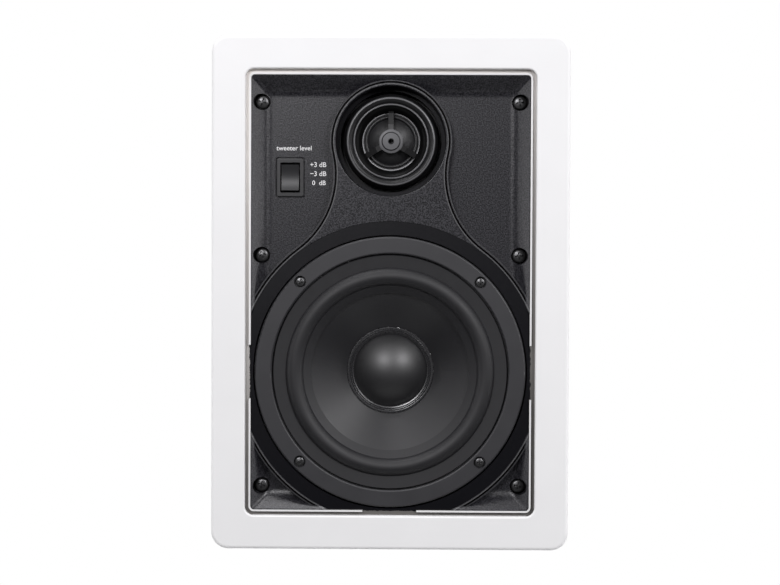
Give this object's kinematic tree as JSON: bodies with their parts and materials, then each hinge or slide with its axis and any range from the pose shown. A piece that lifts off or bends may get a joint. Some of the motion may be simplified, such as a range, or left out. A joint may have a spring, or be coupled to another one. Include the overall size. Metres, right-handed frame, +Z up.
{
  "type": "in-wall loudspeaker",
  "caption": "In-wall loudspeaker: white rectangular flange, black baffle with a woofer, a swivelling dome tweeter in a round well, a level rocker switch and swing-out wall clamps.",
  "frame": {"origin": "middle of the flange's back face, on the wall plane", "axes": "+Z up along the wall, +Y into the wall, +X to the right as seen from the room; the front faces -Y"},
  "size_m": [0.2168, 0.0699, 0.3116],
  "materials": {
    "frame_white": "satin moulded, painted white",
    "baffle_black": "fine grained moulding",
    "trim_black": "satin moulding",
    "screw_black": "black oxide",
    "screw_zinc": "bright zinc",
    "gasket_foam": "closed-cell foam",
    "basket_steel": "black powder coat",
    "surround_rubber": "soft matt rubber",
    "spider_cloth": "impregnated woven cloth",
    "cone_poly": "filled polypropylene, satin",
    "cap_poly": "smooth satin",
    "former_foil": "thin foil",
    "winding_copper": "enamelled copper wire",
    "plate_steel": "zinc plated",
    "ferrite": "ground ferrite",
    "fibre_strip": "pressed fibre",
    "tab_brass": "tinned",
    "ball_black": "smooth satin moulding",
    "face_black": "satin moulding",
    "dome_cloth": "coated cloth",
    "terminal_plate": "moulded, tinned tabs",
    "bearing_nylon": "black nylon",
    "retainer_black": "moulded",
    "switch_black": "fine matt",
    "rocker_black": "satin",
    "board_laminate": "solder-masked laminate",
    "bobbin_black": "moulded",
    "capacitor_sleeve": "shrink sleeve",
    "capacitor_film": "taped film",
    "resistor_cement": "matt cement",
    "terminal_black": "moulded",
    "button_red": "moulded",
    "button_black": "moulded",
    "dog_black": "glass-filled nylon",
    "insert_brass": "turned"
  },
  "bodies": {
    "chassis": {"mounting_frame": "frame_white", "baffle": "baffle_black", "baffle_tie_screws": "screw_black", "woofer_gasket": "gasket_foam", "woofer_basket": "basket_steel", "woofer_trim_ring": "trim_black", "woofer_screws": "screw_black", "woofer_surround": "surround_rubber", "woofer_spider": "spider_cloth", "woofer_top_plate": "plate_steel", "woofer_magnet": "ferrite", "woofer_yoke": "plate_steel", "woofer_terminal_strip": "fibre_strip", "woofer_terminal_tabs": "tab_brass", "swivel_retainer": "retainer_black", "swivel_retainer_screws": "screw_black", "switch_body": "switch_black", "switch_blades": "tab_brass", "clamp_screws": "screw_black", "clamp_stop_caps": "screw_zinc", "crossover_board": "board_laminate", "crossover_screws": "screw_zinc", "crossover_choke_bobbin": "bobbin_black", "crossover_choke_winding": "winding_copper", "crossover_woofer_capacitor": "capacitor_sleeve", "crossover_tweeter_capacitor": "capacitor_film", "crossover_resistors": "resistor_cement", "terminal_block": "terminal_black"},
    "woofer_diaphragm": {"woofer_cone": "cone_poly", "woofer_dust_cap": "cap_poly", "woofer_coil_former": "former_foil", "woofer_coil_winding": "winding_copper"},
    "swivel_pan": {"swivel_bearing_ring": "bearing_nylon"},
    "tweeter": {"tweeter_ball_shell": "ball_black", "tweeter_faceplate": "face_black", "tweeter_surround": "dome_cloth", "tweeter_top_plate": "plate_steel", "tweeter_magnet": "ferrite", "tweeter_yoke": "plate_steel", "tweeter_terminals": "terminal_plate"},
    "tweeter_diaphragm": {"tweeter_dome": "dome_cloth", "tweeter_coil_former": "former_foil", "tweeter_coil_winding": "winding_copper"},
    "level_rocker": {"switch_rocker": "rocker_black"},
    "red_button": {"terminal_button_red": "button_red"},
    "black_button": {"terminal_button_black": "button_black"},
    "clamp_1_insert": {"clamp_insert_1": "insert_brass"},
    "clamp_1_dog": {"clamp_dog_1": "dog_black"},
    "clamp_2_insert": {"clamp_insert_2": "insert_brass"},
    "clamp_2_dog": {"clamp_dog_2": "dog_black"},
    "clamp_3_insert": {"clamp_insert_3": "insert_brass"},
    "clamp_3_dog": {"clamp_dog_3": "dog_black"},
    "clamp_4_insert": {"clamp_insert_4": "insert_brass"},
    "clamp_4_dog": {"clamp_dog_4": "dog_black"},
    "clamp_5_insert": {"clamp_insert_5": "insert_brass"},
    "clamp_5_dog": {"clamp_dog_5": "dog_black"},
    "clamp_6_insert": {"clamp_insert_6": "insert_brass"},
    "clamp_6_dog": {"clamp_dog_6": "dog_black"}
  },
  "joints": [
    {"name": "woofer_stroke", "type": "slide", "parent": "chassis", "child": "woofer_diaphragm", "axis": [0, 1, 0], "range_m": [-0.005, 0.005], "stiffness_N_per_m": 1200, "deforming": ["woofer_surround", "woofer_spider"]},
    {"name": "tweeter_pan", "type": "hinge", "parent": "chassis", "child": "swivel_pan", "pos_m": [0, 0.014, 0.0922], "axis": [0, 0, 1], "range_deg": [-15, 15]},
    {"name": "tweeter_tilt", "type": "hinge", "parent": "swivel_pan", "child": "tweeter", "pos_m": [0, 0.014, 0.0922], "axis": [1, 0, 0], "range_deg": [-15, 15]},
    {"name": "tweeter_stroke", "type": "slide", "parent": "tweeter", "child": "tweeter_diaphragm", "axis": [0, 1, 0], "range_m": [-0.0003, 0.0003], "stiffness_N_per_m": 200, "deforming": ["tweeter_surround"]},
    {"name": "level_switch", "type": "hinge", "parent": "chassis", "child": "level_rocker", "pos_m": [-0.0614, 0.0072, 0.07], "axis": [1, 0, 0], "range_deg": [-10, 10]},
    {"name": "red_terminal", "type": "slide", "parent": "chassis", "child": "red_button", "axis": [0, -1, 0], "range_m": [0, 0.0025], "stiffness_N_per_m": 400},
    {"name": "black_terminal", "type": "slide", "parent": "chassis", "child": "black_button", "axis": [0, -1, 0], "range_m": [0, 0.0025], "stiffness_N_per_m": 400},
    {"name": "clamp_1_travel", "type": "slide", "parent": "chassis", "child": "clamp_1_insert", "axis": [0, -1, 0], "range_m": [0, 0.03]},
    {"name": "clamp_1_swing", "type": "hinge", "parent": "clamp_1_insert", "child": "clamp_1_dog", "pos_m": [-0.0784, 0.048, 0.1158], "axis": [0, 1, 0], "range_deg": [0, 90]},
    {"name": "clamp_2_travel", "type": "slide", "parent": "chassis", "child": "clamp_2_insert", "axis": [0, -1, 0], "range_m": [0, 0.03]},
    {"name": "clamp_2_swing", "type": "hinge", "parent": "clamp_2_insert", "child": "clamp_2_dog", "pos_m": [0.0784, 0.048, 0.1158], "axis": [0, 1, 0], "range_deg": [0, 90]},
    {"name": "clamp_3_travel", "type": "slide", "parent": "chassis", "child": "clamp_3_insert", "axis": [0, -1, 0], "range_m": [0, 0.03]},
    {"name": "clamp_3_swing", "type": "hinge", "parent": "clamp_3_insert", "child": "clamp_3_dog", "pos_m": [-0.0784, 0.048, 0.0227], "axis": [0, 1, 0], "range_deg": [0, 90]},
    {"name": "clamp_4_travel", "type": "slide", "parent": "chassis", "child": "clamp_4_insert", "axis": [0, -1, 0], "range_m": [0, 0.03]},
    {"name": "clamp_4_swing", "type": "hinge", "parent": "clamp_4_insert", "child": "clamp_4_dog", "pos_m": [0.0784, 0.048, 0.0227], "axis": [0, 1, 0], "range_deg": [0, 90]},
    {"name": "clamp_5_travel", "type": "slide", "parent": "chassis", "child": "clamp_5_insert", "axis": [0, -1, 0], "range_m": [0, 0.03]},
    {"name": "clamp_5_swing", "type": "hinge", "parent": "clamp_5_insert", "child": "clamp_5_dog", "pos_m": [-0.0784, 0.048, -0.118], "axis": [0, 1, 0], "range_deg": [0, 90]},
    {"name": "clamp_6_travel", "type": "slide", "parent": "chassis", "child": "clamp_6_insert", "axis": [0, -1, 0], "range_m": [0, 0.03]},
    {"name": "clamp_6_swing", "type": "hinge", "parent": "clamp_6_insert", "child": "clamp_6_dog", "pos_m": [0.0784, 0.048, -0.118], "axis": [0, 1, 0], "range_deg": [0, 90]}
  ]
}
